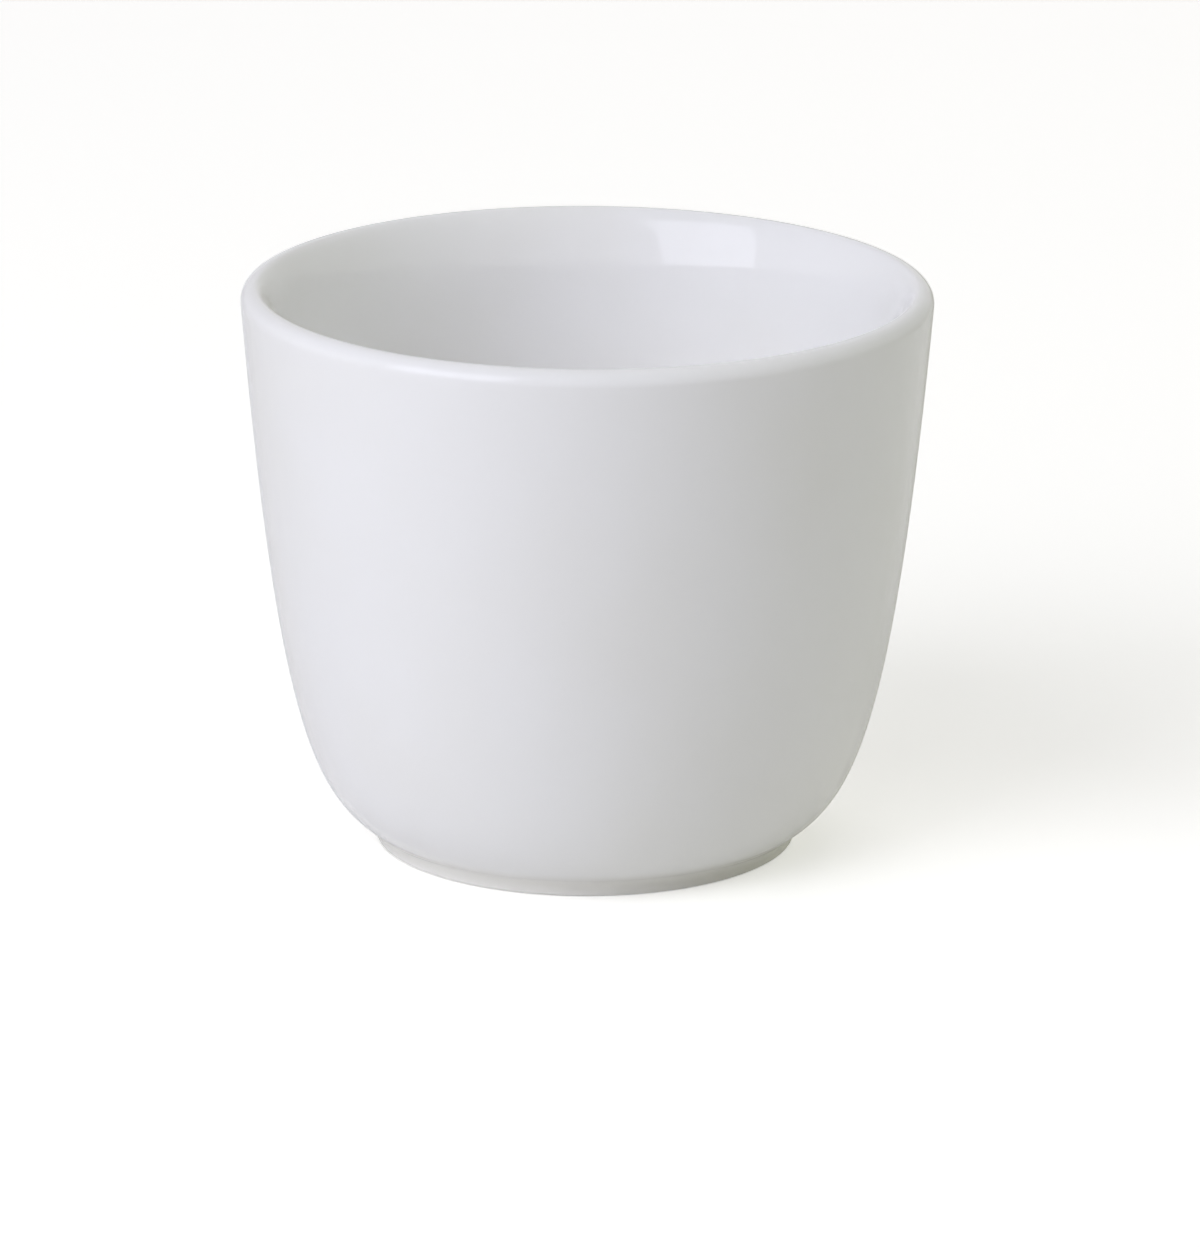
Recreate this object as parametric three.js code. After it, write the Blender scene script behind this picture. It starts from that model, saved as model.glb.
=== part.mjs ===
// A small porcelain tea cup without a handle: a round bowl on a low foot ring, under thin coats of glaze.
// Millimetres, +Z up, with the origin on the axis at the standing face.
// Every piece is turned about that axis, and pieces that are fused together share the same profile points.
import * as THREE from 'three';

// Driving dimensions. Sizes are over the glaze, as they are measured on the finished cup.
const rimDiameter = 76;
const cupHeight = 62.9;
const wallThickness = 4;
const lipRadius = 1.6; // round on the outside of the lip
const lipTaper = 9; // height over which the inside opens towards the top of the lip
const pullAtLip = 1; // how far the inside of the lip stays level
const pullAtTaper = 6; // how far the inside holds the wall's lean below the lip
const floorThickness = 3.6; // inside floor to foot well
const insideCornerRadius = 16; // between the inside of the wall and the floor
const leanAtRim = 4.5; // degrees from upright, where the wall runs into the lip
const leanAtFoot = 57; // degrees from upright, where the wall runs into the crease
const pullAtRim = 49; // how far the wall holds its lean below the lip
const pullAtFoot = 6.8; // how far the wall holds its lean above the crease
const footDiameter = 46.6;
const footWidth = 2.8; // of the ring, with the glaze on both of its sides
const footHeight = 1.4; // where the side of the foot and the line of the wall would meet
const creaseFillet = 2.2; // cove between the side of the foot and the wall
const bareFootHeight = 0.1; // band of biscuit wiped clean above the standing face
const glazeEdge = 0.1; // upright edge of the glaze above the bare band
const footEdgeRadius = 0.1; // rounded edges of the standing face
const wellFillet = 0.5; // glaze pooled in the corner of the foot well
const glazeThickness = 0.3;

// Fineness of the facets
const turnSteps = 48;
const wallSteps = 12;
const insideWallSteps = 6;
const cornerSteps = 7;
const lipSteps = 5;
const taperSteps = 7;
const filletSteps = 4;
const searchSteps = 40;

const quarterTurn = Math.PI / 2;
const rimLean = THREE.MathUtils.degToRad(leanAtRim);
const footLean = THREE.MathUtils.degToRad(leanAtFoot);
const footRadius = footDiameter / 2;
const wellRadius = footRadius - footWidth;

// A point of a profile: x is the distance from the axis, y the height
function point(radius, height) {
  return new THREE.Vector2(radius, height);
}

// The profile point at a distance and an angle from a centre
function polar(centre, radius, angle) {
  return point(centre.x + radius * Math.cos(angle), centre.y + radius * Math.sin(angle));
}

// Points of an arc after its start, up to and with its end
function arcAfterStart(centre, radius, startAngle, endAngle, steps) {
  const points = [];
  for (let step = 1; step <= steps; step += 1) {
    points.push(polar(centre, radius, THREE.MathUtils.lerp(startAngle, endAngle, step / steps)));
  }
  return points;
}

// The outside of the wall runs into the round of the lip
const lipCentre = point(rimDiameter / 2 - lipRadius, cupHeight - lipRadius);

// The crease is a cove between the side of the foot and the line of the wall, above the glaze's edge
const creaseRoom = footHeight - bareFootHeight - glazeEdge;
const creaseReach = Math.min(creaseFillet * Math.tan(footLean / 2), creaseRoom);
const creaseRadius = creaseReach / Math.tan(footLean / 2);
const creaseCentre = point(footRadius + creaseRadius, footHeight - creaseReach);

// The outside of the wall is one curve from the crease to the lip
const wallDirectionAtFoot = point(Math.sin(footLean), Math.cos(footLean));
const wallDirectionAtRim = point(Math.sin(rimLean), Math.cos(rimLean));
const wallFoot = point(footRadius, footHeight).addScaledVector(wallDirectionAtFoot, creaseReach);
const wallTop = polar(lipCentre, lipRadius, -rimLean);
const wallCurve = new THREE.CubicBezierCurve(
  wallFoot,
  wallFoot.clone().addScaledVector(wallDirectionAtFoot, pullAtFoot),
  wallTop.clone().addScaledVector(wallDirectionAtRim, -pullAtRim),
  wallTop,
);

// The point at parameter t of a curve, moved by a depth square to it, to the left of its direction
function curvePoint(curve, t, depth) {
  const direction = curve.getTangent(t);
  const surface = curve.getPoint(t);
  return point(surface.x - depth * direction.y, surface.y + depth * direction.x);
}

// The bowl sits on the foot ring at the height of the lowest biscuit of its wall
const seatHeight = curvePoint(wallCurve, 0, glazeThickness).y;
const insideFloorHeight = seatHeight - glazeThickness + floorThickness;

// The parameter of the wall curve at which a line at a depth in the wall passes a height, by halving
function wallParameter(depth, height) {
  let below = 0;
  let above = 1;
  for (let step = 0; step < searchSteps; step += 1) {
    const middle = (below + above) / 2;
    if (curvePoint(wallCurve, middle, depth).y < height) {
      below = middle;
    } else {
      above = middle;
    }
  }
  return (below + above) / 2;
}

// The inside corner touches the wall where its centre is a corner radius above the floor
const cornerDepth = wallThickness + insideCornerRadius;
const cornerTop = wallParameter(cornerDepth, insideFloorHeight + insideCornerRadius);
const cornerCentre = curvePoint(wallCurve, cornerTop, cornerDepth);
const cornerDirection = wallCurve.getTangent(cornerTop);
const cornerAngle = Math.atan2(-cornerDirection.x, cornerDirection.y);

// The inside of the lip is one curve from the inside of the wall to the top of the lip
const taperStart = wallParameter(wallThickness, cupHeight - lipTaper);
const taperFoot = curvePoint(wallCurve, taperStart, wallThickness);
const lipTop = point(lipCentre.x, cupHeight);
const taperCurve = new THREE.CubicBezierCurve(
  taperFoot,
  taperFoot.clone().addScaledVector(wallCurve.getTangent(taperStart), pullAtTaper),
  point(lipTop.x - pullAtLip, lipTop.y),
  lipTop,
);

// Side of the foot and the crease, up to the foot of the wall but without it, at a depth under the glaze
function creaseProfile(depth) {
  const radius = creaseRadius + depth;
  const arc = arcAfterStart(creaseCentre, radius, Math.PI, Math.PI - footLean, filletSteps);
  return [polar(creaseCentre, radius, Math.PI), ...arc.slice(0, -1)];
}

// Outside of the cup from the foot of the wall to the top of the lip, at a depth under the glaze
function outsideProfile(depth) {
  const points = [];
  for (let step = 0; step <= wallSteps; step += 1) {
    points.push(curvePoint(wallCurve, step / wallSteps, depth));
  }
  points.push(polar(lipCentre, lipRadius - depth, 0));
  points.push(...arcAfterStart(lipCentre, lipRadius - depth, 0, quarterTurn, lipSteps));
  return points;
}

// Inside of the cup from the axis to the top of the lip, at a depth under the glaze
function insideProfile(depth) {
  const cornerRadius = insideCornerRadius + depth;
  const points = [point(0, insideFloorHeight - depth)];
  points.push(polar(cornerCentre, cornerRadius, -quarterTurn));
  points.push(...arcAfterStart(cornerCentre, cornerRadius, -quarterTurn, cornerAngle, cornerSteps));
  for (let step = 1; step <= insideWallSteps; step += 1) {
    const t = THREE.MathUtils.lerp(cornerTop, taperStart, step / insideWallSteps);
    points.push(curvePoint(wallCurve, t, wallThickness - depth));
  }
  for (let step = 1; step < taperSteps; step += 1) {
    points.push(curvePoint(taperCurve, step / taperSteps, -depth));
  }
  points.push(point(lipTop.x, lipTop.y - depth));
  return points;
}

// A named solid turned about Z from a profile that runs up its outside and down its inside
function turned(name, profile, material) {
  const geometry = new THREE.LatheGeometry(profile, turnSteps);
  geometry.rotateX(quarterTurn);
  const mesh = new THREE.Mesh(geometry, material);
  mesh.name = name;
  return mesh;
}

function biscuitMaterial() {
  return new THREE.MeshStandardMaterial({ color: 0xe6e2d9, roughness: 0.8, metalness: 0 });
}

function glazeMaterial() {
  return new THREE.MeshStandardMaterial({ color: 0xe9e9eb, roughness: 0.12, metalness: 0 });
}

const biscuitOutside = outsideProfile(glazeThickness);
const biscuitInside = insideProfile(glazeThickness);
const glazeOutside = outsideProfile(0);
const glazeInside = insideProfile(0);
const ringOuterRadius = footRadius - glazeThickness;
const ringInnerRadius = wellRadius + glazeThickness;

// Biscuit wall, lip and floor
function makeBowl() {
  const profile = [point(0, seatHeight)];
  profile.push(...biscuitOutside);
  profile.push(...biscuitInside.slice(0, -1).reverse());
  return turned('bowl', profile, biscuitMaterial());
}

// Biscuit ring under the bowl, coved up to its wall, with its standing face at z = 0
function makeFootRing() {
  const outerEdge = point(ringOuterRadius - footEdgeRadius, footEdgeRadius);
  const innerEdge = point(ringInnerRadius + footEdgeRadius, footEdgeRadius);
  const profile = [point(innerEdge.x, 0), point(outerEdge.x, 0)];
  profile.push(...arcAfterStart(outerEdge, footEdgeRadius, -quarterTurn, 0, filletSteps));
  profile.push(...creaseProfile(glazeThickness), biscuitOutside[0].clone(), point(ringInnerRadius, seatHeight));
  profile.push(polar(innerEdge, footEdgeRadius, -Math.PI));
  profile.push(...arcAfterStart(innerEdge, footEdgeRadius, -Math.PI, -quarterTurn, filletSteps));
  return turned('foot_ring', profile, biscuitMaterial());
}

// Glaze from the bare band up over the crease and the wall to the top of the lip
function makeOuterGlaze() {
  const start = point(ringOuterRadius, bareFootHeight);
  const profile = [start, point(footRadius, bareFootHeight), ...creaseProfile(0), ...glazeOutside];
  profile.push(...biscuitOutside.slice().reverse(), ...creaseProfile(glazeThickness).reverse(), start.clone());
  return turned('outer_glaze', profile, glazeMaterial());
}

// Glaze from the top of the lip down over the inside of the wall and the floor
function makeInnerGlaze() {
  const profile = [...biscuitInside, ...glazeInside.slice().reverse()];
  return turned('inner_glaze', profile, glazeMaterial());
}

// Glaze over the foot well and down the inside of the foot ring
function makeFootWellGlaze() {
  const ceiling = seatHeight - glazeThickness;
  const corner = point(wellRadius - wellFillet, ceiling - wellFillet);
  const profile = [point(0, ceiling), point(corner.x, ceiling)];
  profile.push(...arcAfterStart(corner, wellFillet, quarterTurn, 0, filletSteps));
  profile.push(point(wellRadius, bareFootHeight), point(ringInnerRadius, bareFootHeight));
  profile.push(point(ringInnerRadius, seatHeight), point(0, seatHeight));
  return turned('foot_well_glaze', profile, glazeMaterial());
}

const teaCup = new THREE.Group();
teaCup.add(makeBowl(), makeFootRing(), makeOuterGlaze(), makeInnerGlaze(), makeFootWellGlaze());

export default teaCup;
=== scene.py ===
import math

import bpy
import numpy as np
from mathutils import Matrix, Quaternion, Vector


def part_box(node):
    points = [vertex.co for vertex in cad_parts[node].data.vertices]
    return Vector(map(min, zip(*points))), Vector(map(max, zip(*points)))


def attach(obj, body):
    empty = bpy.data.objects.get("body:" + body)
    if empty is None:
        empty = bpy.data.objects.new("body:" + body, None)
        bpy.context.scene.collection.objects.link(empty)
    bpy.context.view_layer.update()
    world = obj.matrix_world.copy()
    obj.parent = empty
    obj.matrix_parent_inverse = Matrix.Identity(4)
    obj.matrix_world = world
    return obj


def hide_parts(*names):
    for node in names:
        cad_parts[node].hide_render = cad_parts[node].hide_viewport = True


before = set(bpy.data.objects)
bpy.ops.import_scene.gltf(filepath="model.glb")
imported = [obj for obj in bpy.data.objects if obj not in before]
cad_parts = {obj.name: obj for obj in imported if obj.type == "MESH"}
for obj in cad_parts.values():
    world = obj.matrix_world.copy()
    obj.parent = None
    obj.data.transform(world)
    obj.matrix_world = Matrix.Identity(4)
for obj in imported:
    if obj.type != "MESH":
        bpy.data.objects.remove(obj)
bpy.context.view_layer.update()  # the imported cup: metres, +Z up, standing on z = 0
scene = bpy.context.scene
scene.view_settings.view_transform = "Standard"
print("frame loaded:", ", ".join(sorted(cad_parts)))


# Camera

photoCamera = {
    "imageSize": (1200, 1247),  # pixels
    "focalLength": 8000,  # pixels: a long lens
    "sensor": 36.0,  # mm along the long side of the picture
    "distance": 0.89478,  # from the middle of the foot
    "elevation": 18.10,  # degrees above the table
    "lookAt": (0.00157, 0.0, 0.024145),  # what lies in the middle of the picture
    "roll": 0.31,  # degrees
    "nearest": 0.05,  # nothing closer than this is drawn
}


def makeCamera(setup):
    data = bpy.data.cameras.new("camera")
    data.sensor_width = setup["sensor"]
    data.lens = setup["focalLength"] * setup["sensor"] / max(setup["imageSize"])
    data.clip_start = setup["nearest"]
    camera = bpy.data.objects.new("camera", data)
    height = math.radians(setup["elevation"])
    camera.location = Vector((0, -math.cos(height), math.sin(height))) * setup["distance"]
    aim = (Vector(setup["lookAt"]) - camera.location).to_track_quat("-Z", "Y")
    camera.rotation_mode = "QUATERNION"
    camera.rotation_quaternion = aim @ Quaternion((0, 0, 1), math.radians(setup["roll"]))
    scene.collection.objects.link(camera)
    scene.camera = camera


makeCamera(photoCamera)
print("camera set")


# Shader maths: a wrapped socket adds Math nodes when it is used in an expression

class Wire:
    def __init__(self, finish, socket):
        self.finish = finish
        self.socket = socket

    def maths(self, kind, first, second):
        return self.finish.add("ShaderNodeMath", {"operation": kind}, {0: first, 1: second})

    def __add__(self, other):
        return self.maths("ADD", self, other)

    def __radd__(self, other):
        return self.maths("ADD", other, self)

    def __sub__(self, other):
        return self.maths("SUBTRACT", self, other)

    def __rsub__(self, other):
        return self.maths("SUBTRACT", other, self)

    def __mul__(self, other):
        return self.maths("MULTIPLY", self, other)

    def __rmul__(self, other):
        return self.maths("MULTIPLY", other, self)


class Finish:
    def __init__(self, tree):
        self.tree = tree
        tree.nodes.clear()

    # One node: its type, its settings, its sockets' values or links, and which output is wanted
    def add(self, kind, settings=None, sockets=None, out=0):
        node = self.tree.nodes.new(kind)
        for key, value in (settings or {}).items():
            setattr(node, key, value)
        for key, value in (sockets or {}).items():
            if isinstance(value, Wire):
                self.tree.links.new(value.socket, node.inputs[key])
            else:
                node.inputs[key].default_value = value
        return Wire(self, node.outputs[out]) if node.outputs else None

    # Noise about 0.5, with lumps of a size in metres
    def noise(self, place, size, detail):
        return self.add("ShaderNodeTexNoise", {}, {"Vector": place, "Scale": 1 / size, "Detail": detail})

    # A smooth step from 0 at the low value to 1 at the high one
    def ramp(self, value, low, high):
        sockets = {"Value": value, "From Min": low, "From Max": high}
        return self.add("ShaderNodeMapRange", {"interpolation_type": "SMOOTHSTEP"}, sockets)

    # Two colours mixed by a share from 0 to 1 (6 and 7 are the Mix node's colour sockets)
    def blend(self, share, first, second):
        return self.add("ShaderNodeMix", {"data_type": "RGBA"}, {0: share, 6: first, 7: second}, out=2)

    # One level for rays that look straight and one for rays by a mirror or through glass.
    # Rays that carry light get none.
    def lookingLevel(self, straight, mirrored):
        camera, glossy, through = (self.add("ShaderNodeLightPath", out=name)
                                   for name in ("Is Camera Ray", "Is Glossy Ray", "Is Transmission Ray"))
        either = self.add("ShaderNodeMath", {"operation": "MAXIMUM"}, {0: glossy, 1: through})
        return camera * straight + either * mirrored


def newMaterial(name):
    material = bpy.data.materials.new(name)
    material.use_nodes = True
    return material, Finish(material.node_tree)


def colour(red, green, blue):
    return (red, green, blue, 1.0)


# Finishes

glazeLook = {
    "white": colour(0.934, 0.934, 0.934),
    "warm": colour(0.92, 0.917, 0.905),  # where the body shows through a thinner coat
    "pooled": colour(0.90, 0.89, 0.845),  # painted warm shade in the crease near the foot, darker and warmer than the coat
    "creaseShadeHeight": (0.001, 0.0036),  # painted shade in full below the first height, none above the second
    "cloudSize": 0.022,
    "cloudDetail": 2.0,
    "cloudSpread": (0.35, 0.75),  # noise from which the coat is white, and to which it is warm
    "speck": colour(0.33, 0.31, 0.28),
    "speckSpacing": 0.007,
    "speckRadius": 0.00011,
    "speckCore": 0.4,  # share of the radius that is full dark
    "speckDraw": (0.72, 0.95),  # lots below the first have no speck, above the second a full one
    "speckDip": 0.3,  # depth of a speck, in wave heights
    "roughness": 0.035,
    "haze": 0.03,  # roughness that comes and goes
    "hazeSize": 0.009,
    "hazeDetail": 3.0,
    "waveSize": 0.013,
    "waveHeight": 0.00005,
    "peelSize": 0.0016,
    "peelHeight": 0.0000008,
    "plainDetail": 1.0,  # of the waves and the peel
    "index": 1.5,  # of refraction
    "facingBlend": 0.5,
    "edge": (0.80, 0.95),  # where the mirror fades on faces that turn away, from all to none
}


def makeGlaze(look):
    material, finish = newMaterial("white_glaze")
    place = finish.add("ShaderNodeTexCoord", out="Object")
    cloudNoise = finish.noise(place, look["cloudSize"], look["cloudDetail"])
    cloud = finish.ramp(cloudNoise, *look["cloudSpread"])
    even = finish.blend(cloud, look["white"], look["warm"])
    height = finish.add("ShaderNodeSeparateXYZ", {}, {"Vector": place}, out="Z")
    # Painted warm shade: the coat turns darker and warmer towards the foot, by height
    body = finish.blend(finish.ramp(height, *look["creaseShadeHeight"]), look["pooled"], even)
    cells = {"Vector": place, "Scale": 1 / look["speckSpacing"]}
    nearest = finish.add("ShaderNodeTexVoronoi", {}, cells, out="Distance")
    lot = finish.add("ShaderNodeTexVoronoi", {}, cells, out="Color")
    lotShare = finish.add("ShaderNodeSeparateColor", {}, {"Color": lot}, out="Red")
    spread = look["speckRadius"] / look["speckSpacing"]
    dot = 1 - finish.ramp(nearest, spread * look["speckCore"], spread)
    speck = dot * finish.ramp(lotShare, *look["speckDraw"])
    haze = finish.noise(place, look["hazeSize"], look["hazeDetail"])
    wave = finish.noise(place, look["waveSize"], look["plainDetail"])
    peel = finish.noise(place, look["peelSize"], look["plainDetail"])
    relief = wave + peel * (look["peelHeight"] / look["waveHeight"]) - speck * look["speckDip"]
    bump = finish.add("ShaderNodeBump", {}, {
        "Strength": 1.0,
        "Distance": look["waveHeight"],
        "Height": relief,
    })
    coat = finish.blend(speck, body, look["speck"])
    glossy = finish.add("ShaderNodeBsdfPrincipled", {}, {
        "Base Color": coat,
        "Roughness": look["roughness"] + haze * look["haze"],
        "IOR": look["index"],
        "Normal": bump,
    })
    matt = finish.add("ShaderNodeBsdfDiffuse", {}, {"Color": coat, "Normal": bump})
    facing = finish.add("ShaderNodeLayerWeight", {}, {"Blend": look["facingBlend"]}, out="Facing")
    edge = finish.ramp(facing, *look["edge"])
    shader = finish.add("ShaderNodeMixShader", {}, {0: edge, 1: glossy, 2: matt})
    finish.add("ShaderNodeOutputMaterial", {}, {"Surface": shader})
    return material


biscuitLook = {
    "pale": colour(0.74, 0.72, 0.67),
    "dark": colour(0.62, 0.59, 0.53),
    "grainSize": 0.0004,
    "grainDetail": 3.0,
    "grainHeight": 0.00003,
    "grainPart": 0.4,  # of the tone, the patches have the rest
    "patchSize": 0.006,
    "patchDetail": 4.0,
    "patchPart": 0.6,
    "toneSpread": (0.38, 0.68),  # noise from which the ring is pale, and to which it is dark
    "roughness": 0.78,
    "roughnessSpread": 0.15,
}


def makeBiscuit(look):
    material, finish = newMaterial("bare_biscuit")
    place = finish.add("ShaderNodeTexCoord", out="Object")
    grain = finish.noise(place, look["grainSize"], look["grainDetail"])
    patch = finish.noise(place, look["patchSize"], look["patchDetail"])
    share = finish.ramp(patch * look["patchPart"] + grain * look["grainPart"], *look["toneSpread"])
    bump = finish.add("ShaderNodeBump", {}, {
        "Strength": 1.0,
        "Distance": look["grainHeight"],
        "Height": grain,
    })
    shader = finish.add("ShaderNodeBsdfPrincipled", {}, {
        "Base Color": finish.blend(share, look["pale"], look["dark"]),
        "Roughness": look["roughness"] + grain * look["roughnessSpread"],
        "Normal": bump,
    })
    finish.add("ShaderNodeOutputMaterial", {}, {"Surface": shader})
    return material


glaze = makeGlaze(glazeLook)
biscuit = makeBiscuit(biscuitLook)
print("finishes made")


# Shape of the cup. Radii and heights that a CAD node's box shows come from the frame, the others are the
# CAD's own sizes.

outerLow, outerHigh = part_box("outer_glaze")
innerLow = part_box("inner_glaze")[0]
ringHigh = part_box("foot_ring")[1]
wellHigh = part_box("foot_well_glaze")[1]
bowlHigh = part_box("bowl")[1]

cupShape = {
    "wallThickness": 0.004,
    "lipRadius": 0.0016,  # round on the outside of the lip
    "lipTaper": 0.009,  # height over which the inside opens towards the lip
    "pullAtLip": 0.001,  # how far the inside of the lip stays level
    "pullAtTaper": 0.006,  # how far the inside holds the wall's lean below the lip
    "insideCornerRadius": 0.016,
    "leanAtRim": 4.5,  # degrees from upright
    "leanAtFoot": 57.0,
    "pullAtRim": 0.049,  # how far the wall holds its lean
    "pullAtFoot": 0.0068,
    "footRadius": 0.0233,
    "footHeight": 0.0014,
    "creaseFillet": 0.0022,
    "footEdgeRadius": 0.0001,
    "wellFillet": 0.0005,
}

glazeDepth = outerHigh.x - bowlHigh.x
rimRadius = outerHigh.x
cupHeight = outerHigh.z
bareHeight = outerLow.z
seatHeight = ringHigh.z
footRadius = cupShape["footRadius"]
ringOuter = footRadius - glazeDepth
ringInner = wellHigh.x
wellRadius = ringInner - glazeDepth
floorHeight = innerLow.z + glazeDepth
wallThickness = cupShape["wallThickness"]
quarter = math.pi / 2
rimLean = math.radians(cupShape["leanAtRim"])
footLean = math.radians(cupShape["leanAtFoot"])
lipRadius = cupShape["lipRadius"]
lipCentre = np.array([rimRadius - lipRadius, cupHeight - lipRadius])
lipTop = np.array([lipCentre[0], cupHeight])


# Points (r, z) of an arc: the centre plus the radius at evenly spaced angles
def arc(centre, radius, start, end, count):
    angle = np.linspace(start, end, count)
    return np.asarray(centre) + radius * np.column_stack([np.cos(angle), np.sin(angle)])


# Points of a cubic curve at parameters t, with its slopes: its four handles in the shares of the cubic,
# moved by a depth to the left of the slope
def cubicPoints(handles, t, depth):
    t = np.atleast_1d(t)[:, None]
    a, b, c, d = handles
    point = (1 - t) ** 3 * a + 3 * t * (1 - t) ** 2 * b + 3 * t ** 2 * (1 - t) * c + t ** 3 * d
    slope = (1 - t) ** 2 * (b - a) + 2 * t * (1 - t) * (c - b) + t ** 2 * (d - c)
    slope = slope / np.linalg.norm(slope, axis=1, keepdims=True)
    return point + depth * np.column_stack([-slope[:, 1], slope[:, 0]]), slope


# The outside of the wall is a cubic between the crease and the lip, which leaves each along its lean
creaseReach = cupShape["creaseFillet"] * math.tan(footLean / 2)
creaseCentre = (footRadius + cupShape["creaseFillet"], cupShape["footHeight"] - creaseReach)
alongFoot = np.array([math.sin(footLean), math.cos(footLean)])
alongRim = np.array([math.sin(rimLean), math.cos(rimLean)])
wallFoot = np.array([footRadius, cupShape["footHeight"]]) + creaseReach * alongFoot
wallTop = lipCentre + lipRadius * np.array([math.cos(rimLean), -math.sin(rimLean)])
wallCurve = (wallFoot, wallFoot + cupShape["pullAtFoot"] * alongFoot,
             wallTop - cupShape["pullAtRim"] * alongRim, wallTop)
searchCount = 20001
search = np.linspace(0, 1, searchCount)


# The curve parameter at which the line at a depth in the wall passes a height
def wallParameter(depth, height):
    return np.interp(height, cubicPoints(wallCurve, search, depth)[0][:, 1], search)


# The inside corner's centre is a corner radius above the floor, and a wall and a corner radius deep
cornerRadius = cupShape["insideCornerRadius"]
cornerDepth = wallThickness + cornerRadius
cornerAt = wallParameter(cornerDepth, floorHeight + cornerRadius)
cornerCentre, cornerSlope = (values[0] for values in cubicPoints(wallCurve, cornerAt, cornerDepth))
cornerAngle = math.atan2(-cornerSlope[0], cornerSlope[1])

# The inside of the lip is a cubic from the wall's inside, along its lean, to the lip's top, level
taperAt = wallParameter(wallThickness, cupHeight - cupShape["lipTaper"])
taperFoot, taperSlope = (values[0] for values in cubicPoints(wallCurve, taperAt, wallThickness))
taperCurve = (taperFoot, taperFoot + cupShape["pullAtTaper"] * taperSlope,
              lipTop - (cupShape["pullAtLip"], 0), lipTop)


# Cove of the crease from the side of the foot to the foot of the wall, without its end
def creaseLine(depth, count):
    return arc(creaseCentre, cupShape["creaseFillet"] + depth, math.pi, math.pi - footLean, count)[:-1]


# Outside from the foot of the wall to the top of the lip, at a depth under the glaze
def outsideLine(depth, wallCount, lipCount):
    wall = cubicPoints(wallCurve, np.linspace(0, 1, wallCount), depth)[0]
    lip = arc(lipCentre, lipRadius - depth, -rimLean, quarter, lipCount)[1:]
    return np.vstack([wall, lip])


# Inside from the axis to the top of the lip, at a depth under the glaze
def insideLine(depth, floorCount, cornerCount, wallCount, lipCount):
    corner = arc(cornerCentre, cornerRadius + depth, -quarter, cornerAngle, cornerCount)
    floorRadii = np.linspace(0, corner[0, 0], floorCount)
    floor = np.column_stack([floorRadii, np.full(floorCount, corner[0, 1])])[:-1]
    wall = cubicPoints(wallCurve, np.linspace(cornerAt, taperAt, wallCount), wallThickness - depth)[0]
    lip = cubicPoints(taperCurve, np.linspace(0, 1, lipCount), -depth)[0]
    return np.vstack([floor, corner, wall[1:], lip[1:]])


noStep = 1e-12  # keeps a step of no length from dividing by zero


# Normals of a profile that runs up its outside: the slope by differences, weighted for uneven steps and
# turned right
def lineNormals(line, closed):
    before = np.roll(line, 1, axis=0)
    after = np.roll(line, -1, axis=0)
    if not closed:
        before[0] = line[0]
        after[-1] = line[-1]
    stepBefore = np.linalg.norm(line - before, axis=1, keepdims=True) + noStep
    stepAfter = np.linalg.norm(after - line, axis=1, keepdims=True) + noStep
    slope = (line - before) / stepBefore * stepAfter + (after - line) / stepAfter * stepBefore
    slope = slope / np.linalg.norm(slope, axis=1, keepdims=True)
    return np.column_stack([slope[:, 1], -slope[:, 0]])


turnCount = 256


# A turned piece: the profile point (r, z) at angle a is (r cos a, r sin a, z). Rows of points on the axis
# become one pole, and a profile that doesn't reach the axis closes on itself.
def turnedPiece(name, line, normals, material):
    closed = line[0, 0] > 0
    angle = np.arange(turnCount) * (2 * math.pi / turnCount)
    around = np.column_stack([np.cos(angle), np.sin(angle)])
    rows = line[:, 0] > 0
    body, bodyNormals = line[rows], normals[rows]
    rings = len(body)

    def swept(values):
        flat = values[:, None, :1] * around[None]
        tall = np.repeat(values[:, 1], turnCount).reshape(rings, turnCount, 1)
        return np.concatenate([flat, tall], axis=2).reshape(-1, 3)

    points, directions = swept(body), swept(bodyNormals)
    here = np.arange(rings * turnCount).reshape(rings, turnCount)
    there = np.roll(here, -1, axis=1)
    lower, upper = (here, np.roll(here, -1, axis=0)) if closed else (here[:-1], here[1:])
    lowerNext, upperNext = np.roll(lower, -1, axis=1), np.roll(upper, -1, axis=1)
    quads = np.stack([lower, lowerNext, upperNext, upper], axis=-1).reshape(-1, 4)
    fans = np.empty((0, 3), int)
    if not closed:
        first, last = len(points), len(points) + 1
        poles = np.array([[0, 0, line[0, 1]], [0, 0, line[-1, 1]]])
        points = np.vstack([points, poles])
        directions = np.vstack([directions, [[0, 0, -1], [0, 0, 1]]])
        start = np.column_stack([np.full(turnCount, first), there[0], here[0]])
        end = np.column_stack([here[-1], there[-1], np.full(turnCount, last)])
        fans = np.vstack([start, end])
    corners = np.concatenate([quads.ravel(), fans.ravel()])
    starts = np.concatenate([np.arange(len(quads)) * 4, len(quads) * 4 + np.arange(len(fans)) * 3])
    mesh = bpy.data.meshes.new(name)
    mesh.vertices.add(len(points))
    mesh.vertices.foreach_set("co", points.ravel())
    mesh.loops.add(len(corners))
    mesh.loops.foreach_set("vertex_index", corners)
    mesh.polygons.add(len(starts))
    mesh.polygons.foreach_set("loop_start", starts)
    mesh.polygons.foreach_set("use_smooth", np.ones(len(starts), bool))
    mesh.update(calc_edges=True)
    mesh.validate()
    mesh.normals_split_custom_set_from_vertices(directions)
    mesh.materials.append(material)
    piece = bpy.data.objects.new(name, mesh)
    scene.collection.objects.link(piece)
    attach(piece, "root")
    print(name, len(quads) * 2 + len(fans), "triangles")
    return piece


# Outside coat: a rounded edge above the bare band, the crease, the wall and the outer half of the lip,
# then back down along the biscuit
outsideDetail = {"edge": 5, "crease": 24, "wall": 110, "lip": 28,
                 "backCrease": 10, "backWall": 30, "backLip": 8}


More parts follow.
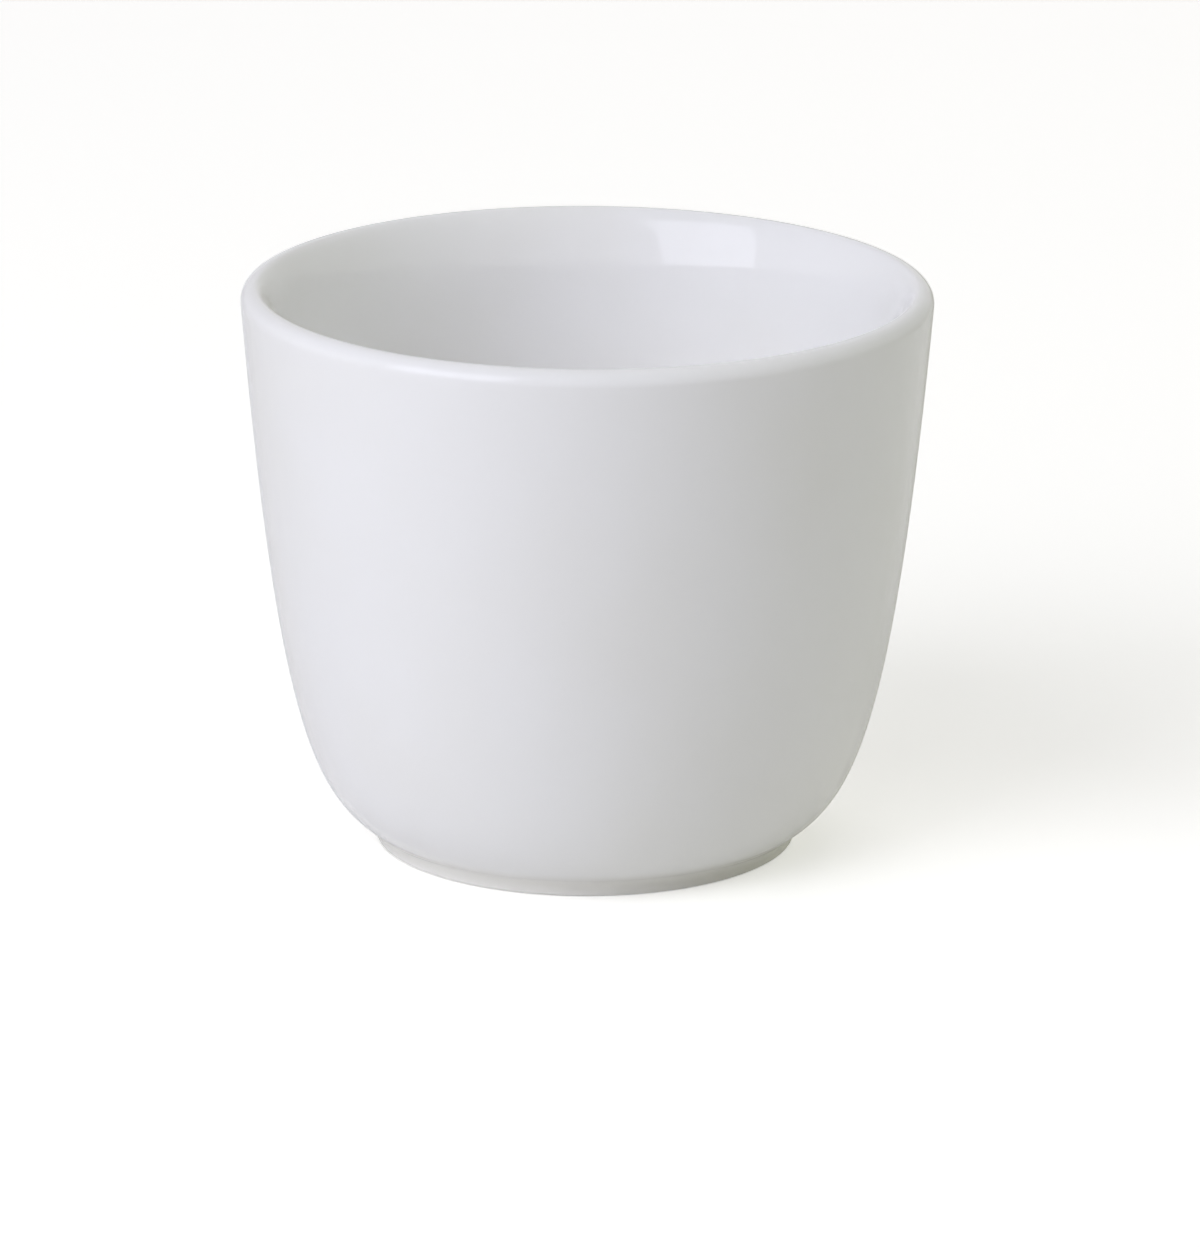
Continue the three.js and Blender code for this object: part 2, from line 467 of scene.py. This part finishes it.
def makeOutsideGlaze(detail):
    edgeRadius = creaseCentre[1] - bareHeight
    edgeCentre = (footRadius - edgeRadius, creaseCentre[1])
    edge = arc(edgeCentre, edgeRadius, -quarter, 0, detail["edge"])
    crease = creaseLine(0, detail["crease"])[1:]
    shown = np.vstack([edge, crease, outsideLine(0, detail["wall"], detail["lip"])])
    back = outsideLine(glazeDepth, detail["backWall"], detail["backLip"])[::-1]
    backCrease = creaseLine(glazeDepth, detail["backCrease"])[::-1]
    line = np.vstack([shown, back, backCrease, [[ringOuter, bareHeight]]])
    normals = lineNormals(line, True)
    normals[0] = (0, -1)
    normals[len(shown) - 1] = (0, 1)  # the lip's top, where the liner coat goes on
    piece = turnedPiece("outside_glaze", line, normals, glaze)
    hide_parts("outer_glaze")


makeOutsideGlaze(outsideDetail)

# Liner coat: out along the biscuit to the lip's top, then down the shown side to the middle of the floor
linerDetail = {"floor": 10, "corner": 46, "wall": 56, "lip": 48,
               "backFloor": 3, "backCorner": 14, "backWall": 14, "backLip": 12}


def makeLinerGlaze(detail):
    back = insideLine(glazeDepth, detail["backFloor"], detail["backCorner"],
                      detail["backWall"], detail["backLip"])
    shown = insideLine(0, detail["floor"], detail["corner"], detail["wall"], detail["lip"])[::-1]
    line = np.vstack([back, shown])
    normals = lineNormals(line, False)
    normals[len(back)] = (0, 1)
    piece = turnedPiece("liner_glaze", line, normals, glaze)
    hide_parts("inner_glaze")


makeLinerGlaze(linerDetail)

# Coat in the foot well: ceiling, pooled corner, rounded edge above the bare band
wellDetail = {"ceiling": 12, "pool": 10, "edge": 7}


def makeWellGlaze(detail):
    ceiling = seatHeight - glazeDepth
    fillet = cupShape["wellFillet"]
    pool = arc((wellRadius - fillet, ceiling - fillet), fillet, quarter, 0, detail["pool"])
    flatRadii = np.linspace(0, pool[0, 0], detail["ceiling"])
    flat = np.column_stack([flatRadii, np.full(detail["ceiling"], ceiling)])
    edge = arc((ringInner, bareHeight + glazeDepth), glazeDepth, math.pi, math.pi + quarter, detail["edge"])
    line = np.vstack([flat[:-1], pool, edge, [[ringInner, seatHeight], [0, seatHeight]]])
    piece = turnedPiece("foot_well_coat", line, lineNormals(line, False), glaze)
    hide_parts("foot_well_glaze")


makeWellGlaze(wellDetail)

# Bare ring that the cup stands on
ringDetail = {"edge": 8, "face": 6, "crease": 10}


def makeStandingRing(detail):
    radius = cupShape["footEdgeRadius"]
    outer = arc((ringOuter - radius, radius), radius, -quarter, 0, detail["edge"])
    inner = arc((ringInner + radius, radius), radius, -math.pi, -quarter, detail["edge"])
    faceRadii = np.linspace(inner[-1, 0], outer[0, 0], detail["face"])
    face = np.column_stack([faceRadii, np.zeros(detail["face"])])[1:-1]
    crease = creaseLine(glazeDepth, detail["crease"])
    top = [wallFoot + glazeDepth * np.array([-alongFoot[1], alongFoot[0]]), [ringInner, seatHeight]]
    line = np.vstack([face, outer, crease, top, inner])
    piece = turnedPiece("bare_foot_ring", line, lineNormals(line, True), biscuit)
    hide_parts("foot_ring")


makeStandingRing(ringDetail)

# The biscuit bowl lies wholly under the coats and keeps its CAD shape
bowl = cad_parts["bowl"]
bowl.data.materials.clear()
bowl.data.materials.append(biscuit)
print("pieces made")


# Floor, world and lamps

floorLook = {
    "size": 4.0,
    "colour": colour(0.90, 0.895, 0.86),
    "lift": 0.40,  # added for the camera, so that the table is near white around the shadow
    "mirroredLift": 0.12,  # added in the glaze's mirror
}


def makeFloor(look):
    half = look["size"] / 2
    mesh = bpy.data.meshes.new("floor")
    corners = [(-half, -half, 0), (half, -half, 0), (half, half, 0), (-half, half, 0)]
    mesh.from_pydata(corners, [], [(0, 1, 2, 3)])
    material, finish = newMaterial("pale_table")
    plain = finish.add("ShaderNodeBsdfDiffuse", {}, {"Color": look["colour"]})
    level = finish.lookingLevel(look["lift"], look["mirroredLift"])
    glow = finish.add("ShaderNodeEmission", {}, {"Strength": level})
    both = finish.add("ShaderNodeAddShader", {}, {0: plain, 1: glow})
    finish.add("ShaderNodeOutputMaterial", {}, {"Surface": both})
    mesh.materials.append(material)
    floor = bpy.data.objects.new("floor", mesh)
    scene.collection.objects.link(floor)


makeFloor(floorLook)

worldLook = {
    "colour": colour(1.0, 1.0, 1.0),
    "seen": 1.0,
    "mirrored": 1.3,  # level in the glaze's mirror on the camera's side
    "mirroredBehind": 0.8,  # and on the far side
    "behindSpread": (0.2, 1.0),  # part of the way back over which the one turns into the other
}


def makeWorld(look):
    world = bpy.data.worlds.new("studio")
    world.use_nodes = True
    scene.world = world
    finish = Finish(world.node_tree)
    way = finish.add("ShaderNodeTexCoord", out="Generated")
    back = finish.add("ShaderNodeSeparateXYZ", {}, {"Vector": way}, out="Y")
    behind = finish.ramp(back, *look["behindSpread"])
    mirrored = look["mirrored"] + behind * (look["mirroredBehind"] - look["mirrored"])
    level = finish.lookingLevel(look["seen"], mirrored)
    ground = finish.add("ShaderNodeBackground", {}, {"Color": look["colour"], "Strength": level})
    finish.add("ShaderNodeOutputWorld", {}, {"Surface": ground})


makeWorld(worldLook)

# Lamps: where each stands (azimuth from the camera's side towards +X, elevation, distance), its size in
# metres and its power in watts. The softbox is mirrored in the glaze, the wide fills only give light.
lamps = {
    "left_softbox": {"azimuth": -47.5, "elevation": 26.5, "distance": 1.1, "size": (0.757, 0.78),
                     "power": 3.7, "colour": (0.86, 0.87, 1.0), "mirrored": True},
    "front_fill": {"azimuth": -30, "elevation": 38, "distance": 1.5, "size": (1.2, 1.2),
                   "power": 7.1, "colour": (0.95, 0.935, 1.0), "mirrored": False},
    "left_fill": {"azimuth": -62, "elevation": 42, "distance": 1.5, "size": (1.5, 1.3),
                  "power": 6.0, "colour": (0.92, 0.95, 1.0), "mirrored": False},
    "right_fill": {"azimuth": 95, "elevation": 31, "distance": 1.5, "size": (1.4, 1.2),
                   "power": 6.8, "colour": (0.97, 1.0, 0.86), "mirrored": False},
    "back_fill": {"azimuth": 180, "elevation": 36, "distance": 1.5, "size": (1.4, 1.2),
                  "power": 6.4, "colour": (0.98, 0.94, 1.0), "mirrored": False},
    "top_fill": {"azimuth": 90, "elevation": 84, "distance": 1.5, "size": (1.2, 1.2),
                 "power": 1.8, "colour": (1.0, 0.98, 0.95), "mirrored": False},
}


def makeLamp(name, setup):
    data = bpy.data.lights.new(name, "AREA")
    data.shape = "RECTANGLE"
    data.size, data.size_y = setup["size"]
    data.energy = setup["power"]
    data.color = setup["colour"]
    lamp = bpy.data.objects.new(name, data)
    turn, height = math.radians(setup["azimuth"]), math.radians(setup["elevation"])
    side = Vector((math.sin(turn) * math.cos(height), -math.cos(turn) * math.cos(height), math.sin(height)))
    aim = Vector((0, 0, cupHeight / 2))
    lamp.location = aim + side * setup["distance"]
    lamp.rotation_mode = "QUATERNION"
    lamp.rotation_quaternion = (-side).to_track_quat("-Z", "Y")
    lamp.visible_glossy = setup["mirrored"]
    scene.collection.objects.link(lamp)


for lampName, lampSetup in lamps.items():
    makeLamp(lampName, lampSetup)
print("floor, world and lamps set")
